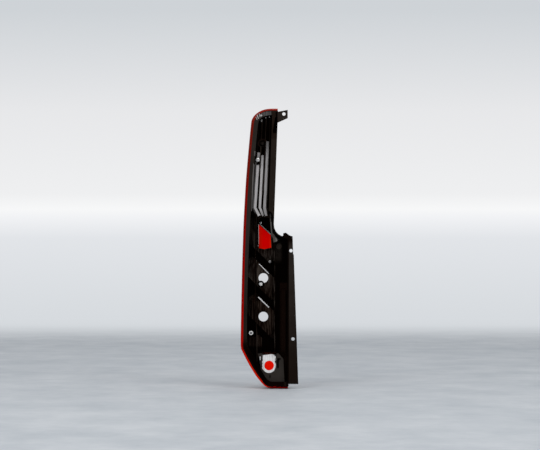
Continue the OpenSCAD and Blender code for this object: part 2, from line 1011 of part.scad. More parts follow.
module threaded_insert() {
    color(steel)
        turned(insert, insert_y - 0.5, [
            [insert_bore_r, 0], [insert_r - 0.6, 0], [insert_r, 0.6],
            [insert_r, insert_h], [insert_bore_r, insert_h]
        ]);
}

// A pan-head screw with a cross recess, its head resting at a depth
module pan_screw(p, seat_y, head_r, head_h, reach) {
    difference() {
        turned(p, seat_y - head_h, [
            [0, 0], [head_r * 0.5, 0.1], [head_r * 0.85, head_h * 0.3], [head_r, head_h * 0.7],
            [head_r, head_h], [screw_r, head_h], [screw_r, head_h + reach], [0, head_h + reach]
        ]);
        for (turn = [0, 90])
            translate([p[0], seat_y - head_h, p[1]])
                rotate([0, turn, 0])
                    cube([head_r * 1.1, head_h * 1.1, head_r * 0.22], center = true);
    }
}

module upper_reflector_screw() {
    color(steel)
        pan_screw(upper_screw, upper_seat, upper_head_r, 3.2, upper_reach);
}

module stop_reflector_screws() {
    color(steel) {
        pan_screw(stop_screw_a, floor_y, 3, 2.2, stop_reach_a);
        pan_screw(stop_screw_b, stop_seat_b, 3.4, 2.4, stop_reach_b);
    }
}

module indicator_reflector_screw() {
    color(steel)
        pan_screw(indicator_screw, indicator_seat, indicator_head_r, 3, indicator_reach);
}

housing();
red_lens();
clear_lens();
lens_seal();
inner_bezel();
reflex_insert();
upper_reflector();
stop_reflector();
indicator_reflector();
reversing_reflector();
fog_reflector();
breather_cap();
threaded_insert();
upper_reflector_screw();
stop_reflector_screws();
indicator_reflector_screw();
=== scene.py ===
import math
import bpy
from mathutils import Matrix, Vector


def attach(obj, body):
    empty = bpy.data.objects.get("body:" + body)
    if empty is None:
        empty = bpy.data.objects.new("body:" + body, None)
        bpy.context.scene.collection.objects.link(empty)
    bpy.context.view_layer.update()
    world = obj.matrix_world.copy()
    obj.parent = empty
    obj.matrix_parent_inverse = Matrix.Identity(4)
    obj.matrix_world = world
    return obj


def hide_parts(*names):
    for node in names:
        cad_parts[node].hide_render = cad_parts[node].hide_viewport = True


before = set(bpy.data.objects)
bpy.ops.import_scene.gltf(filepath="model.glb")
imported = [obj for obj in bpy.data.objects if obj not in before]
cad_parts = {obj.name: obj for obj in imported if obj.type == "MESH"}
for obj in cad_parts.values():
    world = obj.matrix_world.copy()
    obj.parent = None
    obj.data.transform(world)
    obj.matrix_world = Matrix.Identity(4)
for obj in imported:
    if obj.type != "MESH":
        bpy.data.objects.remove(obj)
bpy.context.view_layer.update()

# ---------------------------------------------------------------- studio
# Pale floor that rises into a pale wall, under two wide soft lamps, one on each side.
# The lamp stands on its toe, with its back to the camera.
floor_z, floor_half, floor_front, wall_y = -0.2445, 9, -8, 3.2
sweep_radius, sweep_steps, wall_height = 0.9, 8, 5


def extrude_by(*move):
    """Extrudes what is selected in edit mode."""
    bpy.ops.mesh.extrude_region_move(TRANSFORM_OT_translate={"value": move})


bpy.ops.object.select_all(action="DESELECT")
bpy.ops.mesh.primitive_plane_add(size=1, location=(0, 0, 0))
floor = bpy.context.object
floor.name = "studio_floor"
corners = ((-floor_half, floor_front), (floor_half, floor_front), (-floor_half, wall_y), (floor_half, wall_y))
for vertex, (x, y) in zip(floor.data.vertices, corners):
    vertex.co = (x, y, floor_z)
bpy.ops.object.mode_set(mode="EDIT")
bpy.ops.mesh.select_mode(type="EDGE")
bpy.ops.mesh.select_all(action="DESELECT")
bpy.ops.object.mode_set(mode="OBJECT")
for edge in floor.data.edges:
    edge.select = all(floor.data.vertices[v].co.y > 0 for v in edge.vertices)
bpy.ops.object.mode_set(mode="EDIT")
for step in range(sweep_steps):
    before, turn = math.radians(90 * step / sweep_steps), math.radians(90 * (step + 1) / sweep_steps)
    extrude_by(0, sweep_radius * (math.sin(turn) - math.sin(before)),
               sweep_radius * (math.cos(before) - math.cos(turn)))
extrude_by(0, 0, wall_height)
bpy.ops.object.mode_set(mode="OBJECT")
bpy.ops.object.shade_smooth()


def new_finish(name):
    """A new material, with its nodes, its links and its shader."""
    made = bpy.data.materials.new(name)
    made.use_nodes = True
    nodes, links = made.node_tree.nodes, made.node_tree.links
    return made, nodes, links, nodes["Principled BSDF"]


def directions(nodes, links, where):
    """How far a point lies across the lamp, in its depth and up its height."""
    parts = nodes.new("ShaderNodeSeparateXYZ")
    links.new(where.outputs["Object"], parts.inputs["Vector"])
    return parts.outputs


def two_tones(nodes, links, value, dark, pale, low=0, high=1):
    """A colour that runs from one tone to another as a value grows."""
    ramp = nodes.new("ShaderNodeValToRGB")
    for element, place, tone in zip(ramp.color_ramp.elements, (low, high), (dark, pale)):
        element.position = place
        element.color = (*tone, 1)
    links.new(value, ramp.inputs["Fac"])
    return ramp


paint, nodes, links, shader = new_finish("studio pale paint")
shader.inputs["Roughness"].default_value = 0.6
where = nodes.new("ShaderNodeTexCoord")
parts = directions(nodes, links, where)
cloud = nodes.new("ShaderNodeTexNoise")
cloud.inputs["Scale"].default_value = 7
cloud.inputs["Detail"].default_value = 6
cloud.inputs["Roughness"].default_value = 0.65
links.new(where.outputs["Object"], cloud.inputs["Vector"])
marble = two_tones(nodes, links, cloud.outputs["Fac"], (0.43, 0.46, 0.49), (0.56, 0.58, 0.60), 0.3, 0.7)
links.new(marble.outputs["Color"], shader.inputs["Base Color"])


# The wall is lit evenly, with a bright band at eye level
def ranged(nodes, links, value, start=0, end=1, low=0, high=1, kind="LINEAR"):
    """A value drawn out from one range to another."""
    spread = nodes.new("ShaderNodeMapRange")
    spread.interpolation_type = kind
    for name, number in (("From Min", start), ("From Max", end), ("To Min", low), ("To Max", high)):
        spread.inputs[name].default_value = number
    links.new(value, spread.inputs["Value"])
    return spread.outputs["Result"]


glow = two_tones(nodes, links, ranged(nodes, links, parts["Z"], -0.30, 1.20),
                 (0.66, 0.69, 0.72), (0.62, 0.65, 0.68))
for position, tone in ((0.28, (0.76, 0.78, 0.81)), (0.345, (0.88, 0.89, 0.91)), (0.37, (0.93, 0.935, 0.94)),
                       (0.42, (0.86, 0.865, 0.875)), (0.68, (0.80, 0.805, 0.82))):
    glow.color_ramp.elements.new(position).color = (*tone, 1)
lit = nodes.new("ShaderNodeEmission")
links.new(glow.outputs["Color"], lit.inputs["Color"])


def combined(nodes, links, how, one, other):
    """Two values worked into one."""
    both = nodes.new("ShaderNodeMath")
    both.operation = how
    links.new(one, both.inputs[0])
    links.new(other, both.inputs[1])
    return both.outputs["Value"]


rays = nodes.new("ShaderNodeLightPath")
seen = rays.outputs["Is Camera Ray"]
for name in ("Is Glossy Ray", "Is Transmission Ray"):
    seen = combined(nodes, links, "MAXIMUM", seen, rays.outputs[name])
far = ranged(nodes, links, parts["Y"], 1.8, 3.4, kind="SMOOTHSTEP")
both = nodes.new("ShaderNodeMixShader")
links.new(combined(nodes, links, "MULTIPLY", seen, far), both.inputs["Fac"])
links.new(shader.outputs["BSDF"], both.inputs[1])
links.new(lit.outputs["Emission"], both.inputs[2])
links.new(both.outputs["Shader"], nodes["Material Output"].inputs["Surface"])
floor.data.materials.append(paint)

# The room is a little dimmer behind the camera than overhead and at the sides
world = bpy.data.worlds.new("studio air")
world.use_nodes = True
bpy.context.scene.world = world
bpy.context.scene.view_settings.view_transform = "Standard"
nodes, links = world.node_tree.nodes, world.node_tree.links
where = nodes.new("ShaderNodeTexCoord")
parts = nodes.new("ShaderNodeSeparateXYZ")
links.new(where.outputs["Generated"], parts.inputs["Vector"])
links.new(ranged(nodes, links, parts.outputs["Y"], -0.93, -0.45, 0.66, 0.76, "SMOOTHSTEP"),
          nodes["Background"].inputs["Strength"])
nodes["Background"].inputs["Color"].default_value = (0.95, 0.97, 1.0, 1)

lamp_size, lamp_power, lit_point = 1.6, 30, Vector((-0.05, 0, 0.1))
for name, place in (
    ("soft lamp above on the left", Vector((-1.7, -2.0, 2.7))),
    ("soft lamp above on the right", Vector((1.5, -1.8, 2.7))),
):
    lamp = bpy.data.lights.new(name, "AREA")
    lamp.shape = "SQUARE"
    lamp.size = lamp_size
    lamp.energy = lamp_power
    holder = bpy.data.objects.new(name, lamp)
    bpy.context.scene.collection.objects.link(holder)
    holder.location = place
    holder.rotation_euler = (lit_point - place).to_track_quat("-Z", "Y").to_euler()

# The camera looks straight at the back of the lamp from far away
distance, frame_width, metres_per_pixel = 5.0, 540, 0.0026
view = bpy.data.cameras.new("camera")
view.sensor_width = 36
view.lens = view.sensor_width * distance / (frame_width * metres_per_pixel)
view.clip_end = 60
camera = bpy.data.objects.new("camera", view)
camera.location = (-0.0572, -distance, 0.1816)
camera.rotation_euler = (math.radians(90), 0, 0)
bpy.context.scene.collection.objects.link(camera)
bpy.context.scene.camera = camera

# ---------------------------------------------------------------- housing
# One black moulding. Its rim, flange and ear carry a fine spark-eroded grain, and the backs of the
# bulb chambers are polished, with upright streaks of painted highlight over a bump of the same streaks.
# Much of its colour is painted light and shade: painted shade in the recesses and on unlit faces, and
# painted highlights where ribs, edges and facets catch the light.
grain = bpy.data.node_groups.new("moulded grain", "ShaderNodeTree")
for socket, value in (("Grain", 900.0), ("Cloud", 14.0)):
    made = grain.interface.new_socket(socket, in_out="INPUT", socket_type="NodeSocketFloat")
    made.default_value = value
grain.interface.new_socket("Height", in_out="OUTPUT", socket_type="NodeSocketFloat")
grain.interface.new_socket("Cloud", in_out="OUTPUT", socket_type="NodeSocketFloat")
inside = grain.nodes.new("NodeGroupInput")
outside = grain.nodes.new("NodeGroupOutput")
where = grain.nodes.new("ShaderNodeTexCoord")
fine = grain.nodes.new("ShaderNodeTexNoise")
fine.inputs["Detail"].default_value = 3
broad = grain.nodes.new("ShaderNodeTexNoise")
broad.inputs["Detail"].default_value = 4
grain.links.new(where.outputs["Object"], fine.inputs["Vector"])
grain.links.new(where.outputs["Object"], broad.inputs["Vector"])
grain.links.new(inside.outputs["Grain"], fine.inputs["Scale"])
grain.links.new(inside.outputs["Cloud"], broad.inputs["Scale"])
grain.links.new(fine.outputs["Fac"], outside.inputs["Height"])
grain.links.new(broad.outputs["Fac"], outside.inputs["Cloud"])


def grained(nodes, size, cloud=14):
    """The moulded grain, placed in a material with its own sizes."""
    surface = nodes.new("ShaderNodeGroup")
    surface.node_tree = grain
    surface.inputs["Grain"].default_value = size
    surface.inputs["Cloud"].default_value = cloud
    return surface.outputs


def bumped(nodes, links, height, strength, distance, under=None):
    """A bump, laid over another one where that is given."""
    bump = nodes.new("ShaderNodeBump")
    bump.inputs["Strength"].default_value = strength
    bump.inputs["Distance"].default_value = distance
    links.new(height, bump.inputs["Height"])
    if under is not None:
        links.new(under, bump.inputs["Normal"])
    return bump.outputs["Normal"]


def moulded(name, dark, pale, rough, grain_size, depth, gloss=0.06):
    """A moulded plastic: two close tones in clouds, uneven sheen and a fine grain."""
    made, nodes, links, shader = new_finish(name)
    shader.inputs["Specular IOR Level"].default_value = gloss
    shader.inputs["Specular Tint"].default_value = (1.0, 0.7, 0.58, 1)
    surface = grained(nodes, grain_size)
    tone = two_tones(nodes, links, surface["Cloud"], dark, pale, 0.35, 0.65)
    links.new(tone.outputs["Color"], shader.inputs["Base Color"])
    links.new(ranged(nodes, links, surface["Cloud"], low=rough - 0.08, high=rough + 0.08),
              shader.inputs["Roughness"])
    links.new(bumped(nodes, links, surface["Height"], 0.5, depth), shader.inputs["Normal"])
    return made


def zone(nodes, links, value, low, high, soft):
    """A mask that is one where a value lies between two others."""
    over = ranged(nodes, links, value, low - soft, low + soft, kind="SMOOTHSTEP")
    under = ranged(nodes, links, value, high + soft, high - soft, kind="SMOOTHSTEP")
    return combined(nodes, links, "MULTIPLY", over, under)


def patch(nodes, links, *limits):
    """A mask inside a box, given as (value, low, high, softness) for each direction."""
    mask = zone(nodes, links, *limits[0])
    for limit in limits[1:]:
        mask = combined(nodes, links, "MULTIPLY", mask, zone(nodes, links, *limit))
    return mask


def slanted(nodes, links, across, height, x_share, z_share):
    """A distance measured across a slanted line."""
    along = nodes.new("ShaderNodeMath")
    along.operation = "MULTIPLY"
    along.inputs[1].default_value = x_share
    links.new(across, along.inputs[0])
    total = nodes.new("ShaderNodeMath")
    total.operation = "MULTIPLY_ADD"
    total.inputs[1].default_value = z_share
    links.new(height, total.inputs[0])
    links.new(along.outputs["Value"], total.inputs[2])
    return total.outputs["Value"]


def layered(nodes, links, below, above, mask):
    """One colour laid over another by a mask."""
    mix = nodes.new("ShaderNodeMix")
    mix.data_type = "RGBA"
    for socket, value in ((mix.inputs[6], below), (mix.inputs[7], above)):
        if isinstance(value, tuple):
            socket.default_value = (*value, 1)
        else:
            links.new(value, socket)
    links.new(mask, mix.inputs[0])
    return mix.outputs[2]


def painted(nodes, links, tone, patches):
    """Colours laid over a tone one after another, each inside its own box of limits."""
    for colour, *limits in patches:
        tone = layered(nodes, links, tone, colour, patch(nodes, links, *limits))
    return tone


def away_from(nodes, links, where, point):
    """How far the surface lies from a point."""
    measured = nodes.new("ShaderNodeVectorMath")
    measured.operation = "DISTANCE"
    measured.inputs[1].default_value = point
    links.new(where.outputs["Object"], measured.inputs[0])
    return measured.outputs["Value"]


def upright_streaks(nodes, links, vector, pitch, dark_at, pale_at):
    """Long upright streaks, as a mask and as a height."""
    stretch = nodes.new("ShaderNodeMapping")
    stretch.inputs["Scale"].default_value = (1, 0.4, 0.045)
    links.new(vector, stretch.inputs["Vector"])
    noise = nodes.new("ShaderNodeTexNoise")
    noise.inputs["Scale"].default_value = 1 / pitch
    noise.inputs["Detail"].default_value = 2.5
    links.new(stretch.outputs["Vector"], noise.inputs["Vector"])
    return ranged(nodes, links, noise.outputs["Fac"], dark_at, pale_at), noise.outputs["Fac"]


black, nodes, links, shader = new_finish("black housing plastic")
shader.inputs["Specular IOR Level"].default_value = 0.02
shader.inputs["Specular Tint"].default_value = (1.0, 0.42, 0.28, 1)
where = nodes.new("ShaderNodeTexCoord")
across, depth, height = directions(nodes, links, where)
surface = grained(nodes, 900, 16)
streak_highlights, drawn_height = upright_streaks(nodes, links, where.outputs["Object"], 0.0032, 0.46, 0.68)
patchy_highlights = upright_streaks(nodes, links, where.outputs["Object"], 0.0075, 0.47, 0.60)[0]
dashes = upright_streaks(nodes, links, where.outputs["Object"], 0.0016, 0.52, 0.62)[0]

# Tones from the rim down to the grooves, darker towards the bottom, with painted shade on every face
# deeper than the rim and along the bottom of the rim, darkest on the lower left, where the light does not
# reach
face = (depth, -1, 0.0036, 0.0003)
tone = layered(nodes, links, (0.0105, 0.0068, 0.0050), (0.0235, 0.0190, 0.0160),
               ranged(nodes, links, height, -0.20, 0.10))
tone = painted(nodes, links, tone, (
    ((0.0007, 0.0004, 0.0003), (depth, 0.0036, 1, 0.0006)),
    ((0.0034, 0.0014, 0.0009), face, (across, -0.2, -0.0205, 0.002), (height, -1, -0.122, 0.020)),
    ((0.0005, 0.0002, 0.0001), face, (across, -0.2, -0.066, 0.006), (height, -1, -0.148, 0.008)),
    # The tab over the flange turns away from the light
    ((0.0032, 0.0017, 0.0012), face, (across, -0.032, 0.01, 0.001), (height, 0.1340, 0.18, 0.0100)),
    # The column's band and the ear are a little browner, and the inner edge of the flange is in shadow
    ((0.0170, 0.0128, 0.0102), face, (across, -0.066, 0.05, 0.0015), (height, 0.196, 0.6, 0.004)),
    ((0.0022, 0.0012, 0.0009), face, (across, -0.0150, -0.0082, 0.0008), (height, -0.30, 0.150, 0.006)),
    # The top of the band is darker, the ear a little lighter, and the joint between them and the notch
    # under the ear are in shadow
    ((0.0118, 0.0078, 0.0056), face, (across, -0.0590, -0.0385, 0.0010), (height, 0.405, 0.476, 0.004)),
    ((0.0205, 0.0156, 0.0130), face, (across, -0.0372, 0.05, 0.0008), (height, 0.430, 0.6, 0.004)),
    ((0.0010, 0.0005, 0.0003), face, (across, -0.0425, -0.0374, 0.0008), (height, 0.4465, 0.4765, 0.0020)),
    ((0.0010, 0.0005, 0.0003), face, (across, -0.0492, -0.0380, 0.0008), (height, 0.4200, 0.4280, 0.0010)),
))
# Polished backs of the chambers: painted highlights in upright streaks, over a bump of the same streaks
chamber, between_walls = (depth, 0.0075, 0.029, 0.0015), (across, -0.130, -0.044, 0.0008)
back = patch(nodes, links, chamber, (height, -0.135, 0.205, 0.004), between_walls)
tone = layered(nodes, links, tone,
               layered(nodes, links, (0.0030, 0.0013, 0.0009), (0.026, 0.0178, 0.0134), streak_highlights), back)
rib_top, deep = (depth, 0.0066, 0.0072, 0.0002), (depth, 0.0110, 1, 0.0020)
tone = painted(nodes, links, tone, (
    # Painted light: brighter streaks of highlight on the chamber backs between these heights
    (layered(nodes, links, (0.0095, 0.0060, 0.0045), (0.052, 0.0410, 0.0340), streak_highlights),
     chamber, between_walls, (height, 0.020, 0.112, 0.016)),
    # Light on the back beside the stop window
    (layered(nodes, links, (0.0260, 0.0195, 0.0160), (0.080, 0.0650, 0.0560), streak_highlights),
     (depth, 0.0062, 0.029, 0.0005), (across, -0.1008, -0.0925, 0.0010), (height, 0.1060, 0.1620, 0.0060)),
    # Painted highlights, broken into patches, on the tops of the upright ribs, with a brighter painted
    # highlight along the rib beside the column
    (layered(nodes, links, (0.0026, 0.0015, 0.0011), (0.019, 0.0145, 0.0115), patchy_highlights), rib_top),
    (layered(nodes, links, (0.0012, 0.0006, 0.0004), (0.030, 0.0240, 0.0200), dashes),
     rib_top, (across, -0.056, -0.040, 0.001), (height, -1, 0.120, 0.004)),
    ((0.085, 0.080, 0.076), rib_top, (across, -0.13, -0.0915, 0.0008), (height, 0.214, 0.352, 0.006)),
    # The brown inner panel beside the flange
    ((0.0120, 0.0052, 0.0034), (depth, 0.0270, 1, 0.0003), (across, -0.0315, -0.0130, 0.0014),
     (height, -1, 0.030, 0.003)),
    ((0.0074, 0.0036, 0.0024), (depth, 0.0250, 0.0270, 0.0003), (across, -0.05, 0, 0.0008)),
    # A brown sliver of floor between the second and third strips of the upper reflector
    ((0.0150, 0.0110, 0.0100), (slanted(nodes, links, across, height, 1.0, -0.05), -0.0925, -0.0860, 0.0008),
     (height, 0.262, 0.365, 0.010), (depth, 0.0040, 1, 0.0005)),
    # A paler ring of floor round the breather cap
    ((0.0240, 0.0125, 0.0095),
     (away_from(nodes, links, where, (-0.0764, 0.0160, 0.3943)), 0.0088, 0.0128, 0.0012), deep,
     (height, 0.386, 1, 0.003)),
    # Daylight reaches the wall of the hollow under the waist
    ((0.027, 0.0205, 0.0165), deep, (across, -0.0455, -0.0275, 0.0050), (height, 0.088, 0.136, 0.010)),
    # The fog lamp's panel is paler, but for its top edge, in the shade of the ledge above it
    ((0.0370, 0.0315, 0.0275), (depth, 0.0145, 0.0155, 0.0003), (height, -1, -0.1535, 0.0014)),
    # Light caught on the waist's ridge and on the curve above it
    (layered(nodes, links, (0.066, 0.058, 0.052), (0.145, 0.134, 0.126), patchy_highlights),
     (slanted(nodes, links, across, height, 1.0, 1.0), -1, 0.1098, 0.0014),
     (slanted(nodes, links, across, height, -0.445, 0.895), 0.1425, 1, 0.0012),
     (slanted(nodes, links, across, height, 1.0, 0.13), -0.0303, 1, 0.0010)),
    ((0.100, 0.092, 0.087), (slanted(nodes, links, across, height, 1.0, 0.07), -0.0432, -0.0402, 0.0009),
     (height, 0.150, 0.210, 0.004), (depth, 0.0036, 1, 0.0004)),
    # Painted highlight: the facet along the top of the rim catches the light, in upright streaks
    (layered(nodes, links, (0.040, 0.0375, 0.0355), (0.082, 0.0795, 0.0770), streak_highlights),
     face, (across, -0.0875, -0.0535, 0.0008), (height, 0.4655, 0.490, 0.0012)),
))
cloud = nodes.new("ShaderNodeHueSaturation")
links.new(ranged(nodes, links, surface["Cloud"], 0.3, 0.7, 0.78, 1.22), cloud.inputs["Value"])
links.new(tone, cloud.inputs["Color"])
links.new(cloud.outputs["Color"], shader.inputs["Base Color"])
links.new(ranged(nodes, links, back, low=0.52, high=0.24), shader.inputs["Roughness"])
fine_grain = bumped(nodes, links, surface["Height"], 0.4, 0.00006)
waves = combined(nodes, links, "MULTIPLY", back, drawn_height)
links.new(bumped(nodes, links, waves, 1.0, 0.0005, fine_grain), shader.inputs["Normal"])


def dress(piece, *finishes):
    """Gives a piece its finishes in place of those it has."""
    piece.data.materials.clear()
    for made in finishes:
        piece.data.materials.append(made)


dress(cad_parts["housing"], black)

# ---------------------------------------------------------------- lens
# A deep red moulding welded round the front of the housing, with a clear band let into its middle.
# It is drawn from its back edge forward, ring by ring, over the same outline as the housing.
top_z, bottom_z, knee_x, knee_z = 0.485, 0.244, 0.134, 0.134
shoulder_x, shoulder_w, shoulder_h, side_bow = 0.1055, 0.053, 0.040, 0.008
column_top_x, column_low_x = 0.036, 0.047
waist_z, waist_w, waist_h, waist_corner, body_x = 0.152, 0.0275, 0.031, 0.006, 0.009
shoulder_z = top_z - shoulder_h
waist_top_z = waist_z + waist_h
# The side swells out above this height and is drawn in below it
swell_z, swell_run, swell, draw = 0.18, 0.12, 0.0012, 0.0014
crown_y, crown_fall, crown_edge, end_run, end_drop = 0.096, 0.020, 0.0045, 0.03, 0.004
wall, foot_extra, foot_y, corner_extra = 0.003, 0.0015, 0.0049, 0.0020
# Height and place of the left edge at points down the full lower corner
lower_left = (
    (-0.1340, -0.1337), (-0.1415, -0.1326), (-0.1499, -0.1286), (-0.1707, -0.1181), (-0.1915, -0.1066),
    (-0.2123, -0.0934), (-0.2290, -0.0800), (-0.2375, -0.0715), (-0.2425, -0.0620), (-0.2440, -0.0490),
)


def elliptic(u):
    """The drop of a quarter ellipse at a share of its run."""
    return 1 - math.sqrt(max(0, 1 - u ** 2))


def left_at(z):
    """The left edge: an elliptic shoulder, a bowed side and a full lower corner."""
    if z >= swell_z:
        nudge = -swell * min(1, (z - swell_z) / swell_run)
    else:
        nudge = draw * math.sin(math.pi * (swell_z - z) / (swell_z + knee_z))
    if z >= shoulder_z:
        return -shoulder_x + nudge + shoulder_w * elliptic((z - shoulder_z) / shoulder_h)
    if z >= -knee_z:
        u = (z + knee_z) / (shoulder_z + knee_z)
        return -knee_x + nudge + (knee_x - shoulder_x) * u - 4 * side_bow * u * (1 - u)
    for (z1, x1), (z2, x2) in zip(lower_left, lower_left[1:]):
        if z >= z2:
            return x1 + (x2 - x1) * (z - z1) / (z2 - z1)
    return lower_left[-1][1]


def right_at(z):
    """The right edge: a straight column, a round waist and a straight body."""
    if z >= waist_top_z:
        return -column_low_x + (column_low_x - column_top_x) * (z - waist_top_z) / (top_z - waist_top_z)
    if z >= waist_z:
        return -column_low_x + waist_w * elliptic((z - waist_top_z) / waist_h)
    if z >= waist_z - waist_corner:
        return -body_x - (column_low_x - waist_w - body_x) * (z - waist_z + waist_corner) / waist_corner
    return -body_x


def crown_at(z):
    """The depth of the lens along its middle, which bows from top to toe."""
    return crown_y - crown_fall * ((2 * z - top_z + bottom_z) / (top_z + bottom_z)) ** 2


heights = [shoulder_z + shoulder_h * math.cos(math.pi / 2 * i / 10) for i in range(10)]
heights += [shoulder_z + (waist_top_z - shoulder_z) * i / 16 for i in range(16)]
heights += [waist_top_z - waist_h * math.sin(math.pi / 2 * i / 8) for i in range(9)]
heights += [waist_z - waist_corner - (waist_z - waist_corner + knee_z) * i / 16 for i in range(17)]
heights += [z for z, x in lower_left[1:]]
rows = len(heights)
outline = [(left_at(z), z) for z in heights] + [(right_at(z), z) for z in reversed(heights)]
count = len(outline)


def inward(a, b):
    """The direction into the lamp, squarely off a stretch of the outline."""
    return Vector((a[1] - b[1], b[0] - a[0])).normalized()


def inset_point(i, d):
    """A point of the outline moved inwards: squarely on the left, drawn to the middle on the right."""
    if i < rows:
        n1 = inward(outline[i - 1], outline[i])
        n2 = inward(outline[i], outline[i + 1])
        p = Vector(outline[i]) + (n1 + n2) * d / (1 + n1.dot(n2))
        return p.x, p.y
    z = outline[i][1]
    middle = (top_z - bottom_z) / 2
    at = z - d * (z - middle) / (top_z - middle)
    n = inward((right_at(at - 0.001), at - 0.001), (right_at(at + 0.001), at + 0.001))
    d = 0.0006 + 0.35 * d
    return right_at(at) + n.x * d, at + n.y * d


def is_right(i):
    """Whether a point lies on the right side, where the flange stands back."""
    return rows < i < count - 1


def shoulder(drop):
    """A ring on the round of the lens, behind its crown by a drop."""
    return lambda i, z: crown_at(z) - (0.6 if i >= rows else 1) * drop


rings = [
    (0.001, lambda i, z: 0.0409 if is_right(i) else -0.0004),
    (0.0, lambda i, z: 0.0450 if is_right(i) else 0.0140),
]
for inset, drop in ((0.0012, 0.040), (0.0035, 0.0245), (0.008, 0.014), (0.0135, 0.0080), (0.019, crown_edge)):
    rings.append((inset, shoulder(drop)))
bpy.ops.object.select_all(action="DESELECT")
bpy.ops.mesh.primitive_circle_add(vertices=count, radius=0.3, fill_type="NOTHING")
shell = bpy.context.object
shell.name = "red_lens_shell"
for i in range(count):
    x, z = inset_point(i, rings[0][0])
    shell.data.vertices[i].co = (x, rings[0][1](i, outline[i][1]), z)
for k, ring in enumerate(rings[1:]):
    bpy.ops.object.mode_set(mode="EDIT")
    bpy.ops.mesh.select_mode(type="EDGE")
    bpy.ops.mesh.select_all(action="DESELECT")
    bpy.ops.object.mode_set(mode="OBJECT")
    for edge in shell.data.edges:
        edge.select = all(v >= k * count for v in edge.vertices)
    bpy.ops.object.mode_set(mode="EDIT")
    extrude_by(0, 0.01, 0)
    bpy.ops.object.mode_set(mode="OBJECT")
    parents = {}
    for edge in shell.data.edges:
        a, b = sorted(edge.vertices)
        if a < (k + 1) * count <= b:
            parents[b] = (a - k * count) if k == 0 else order[a]
    order = parents
    for vertex, i in parents.items():
        x, z = inset_point(i, ring[0])
        shell.data.vertices[vertex].co = (x, ring[1](i, outline[i][1]), z)

# The crown: the two long sides of the last ring are bridged and the strip between them is domed
bpy.ops.object.mode_set(mode="EDIT")
bpy.ops.mesh.select_all(action="DESELECT")
bpy.ops.object.mode_set(mode="OBJECT")
for edge in shell.data.edges:
    a, b = (order.get(v, -1) for v in edge.vertices)
    edge.select = min(a, b) >= 0 and (max(a, b) < rows or min(a, b) >= rows)
bpy.ops.object.mode_set(mode="EDIT")
bpy.ops.mesh.bridge_edge_loops(number_cuts=5, interpolation="LINEAR", smoothness=0)
bpy.ops.object.mode_set(mode="OBJECT")
head_z, foot_z = top_z - rings[-1][0], -bottom_z + rings[-1][0]
for vertex in shell.data.vertices:
    if vertex.index >= count * len(rings):
        x, z = vertex.co.x, vertex.co.z
        across = (x - left_at(z)) / (right_at(z) - left_at(z))
        drop = crown_edge * max(0, 1 - across / 0.5) ** 2 + 0.0027 * max(0, (across - 0.5) / 0.5) ** 2
        drop += end_drop * max(0, 1 - (head_z - z) / end_run) ** 2
        drop += end_drop * max(0, 1 - (z - foot_z) / end_run) ** 2
        vertex.co.y = crown_at(z) - min(drop, crown_edge)


def alone(piece):
    """Leaves one piece selected and active."""
    bpy.ops.object.select_all(action="DESELECT")
    piece.select_set(True)
    bpy.context.view_layer.objects.active = piece


def finish_with(piece, kind, **settings):
    """Adds one modifier to a piece and applies it."""
    alone(piece)
    made = piece.modifiers.new(kind.lower(), kind)
    for key, value in settings.items():
        setattr(made, key, value)
    bpy.ops.object.modifier_apply(modifier=made.name)


def face_outwards():
    """Turns all faces of the piece at hand outwards."""
    bpy.ops.object.mode_set(mode="EDIT")
    bpy.ops.mesh.select_all(action="SELECT")
    bpy.ops.mesh.normals_make_consistent(inside=False)
    bpy.ops.object.mode_set(mode="OBJECT")


face_outwards()
crown = min(shell.data.polygons, key=lambda face: (face.center - Vector((-0.07, 0.095, 0.12))).length)
if crown.normal.y < 0:
    bpy.ops.object.mode_set(mode="EDIT")
    bpy.ops.mesh.flip_normals()
    bpy.ops.object.mode_set(mode="OBJECT")
finish_with(shell, "SOLIDIFY", thickness=wall, offset=-1)

# The foot of the lens is thicker, up to the rim of the housing
bpy.ops.object.mode_set(mode="EDIT")
bpy.ops.mesh.select_mode(type="FACE")
bpy.ops.mesh.select_all(action="SELECT")
bpy.ops.mesh.bisect(plane_co=(0, foot_y, 0), plane_no=(0, 1, 0))
bpy.ops.mesh.select_all(action="DESELECT")
bpy.ops.object.mode_set(mode="OBJECT")
middle = Vector((-0.07, 0, 0.12))
for face in shell.data.polygons:
    across = Vector((middle.x - face.center.x, 0, (middle.z - face.center.z) * 0.2))
    inner_wall = face.center.y < 0.0048 and abs(face.normal.y) < 0.5 and face.normal.dot(across) > 0
    face.select = inner_wall and not (face.center.z < -0.230 and face.normal.z > 0.7)
bpy.ops.object.mode_set(mode="EDIT")
bpy.ops.mesh.extrude_region_shrink_fatten(TRANSFORM_OT_shrink_fatten={"value": foot_extra})
bpy.ops.object.mode_set(mode="OBJECT")
# Thicker still round the lower corner
for face in shell.data.polygons:
    face.select = face.select and face.center.z > -0.136 and face.normal.x > 0.7
bpy.ops.object.mode_set(mode="EDIT")
bpy.ops.mesh.extrude_region_shrink_fatten(TRANSFORM_OT_shrink_fatten={"value": corner_extra})
bpy.ops.object.mode_set(mode="OBJECT")

# The clear band is cut out of the shell with a block
block_low, block_high = (-0.114, 0.048, -0.110), (-0.019, 0.110, 0.100)
bpy.ops.object.select_all(action="DESELECT")
bpy.ops.mesh.primitive_cube_add(size=1, location=(0, 0, 0))
block = bpy.context.object
for vertex in block.data.vertices:
    vertex.co = [low if at < 0 else high for at, low, high in zip(vertex.co, block_low, block_high)]
alone(shell)
bpy.ops.object.duplicate()
band = bpy.context.object
band.name = "clear_lens_band"
finish_with(shell, "BOOLEAN", operation="DIFFERENCE", object=block, solver="EXACT")
finish_with(band, "BOOLEAN", operation="INTERSECT", object=block, solver="EXACT")
bpy.data.objects.remove(block)


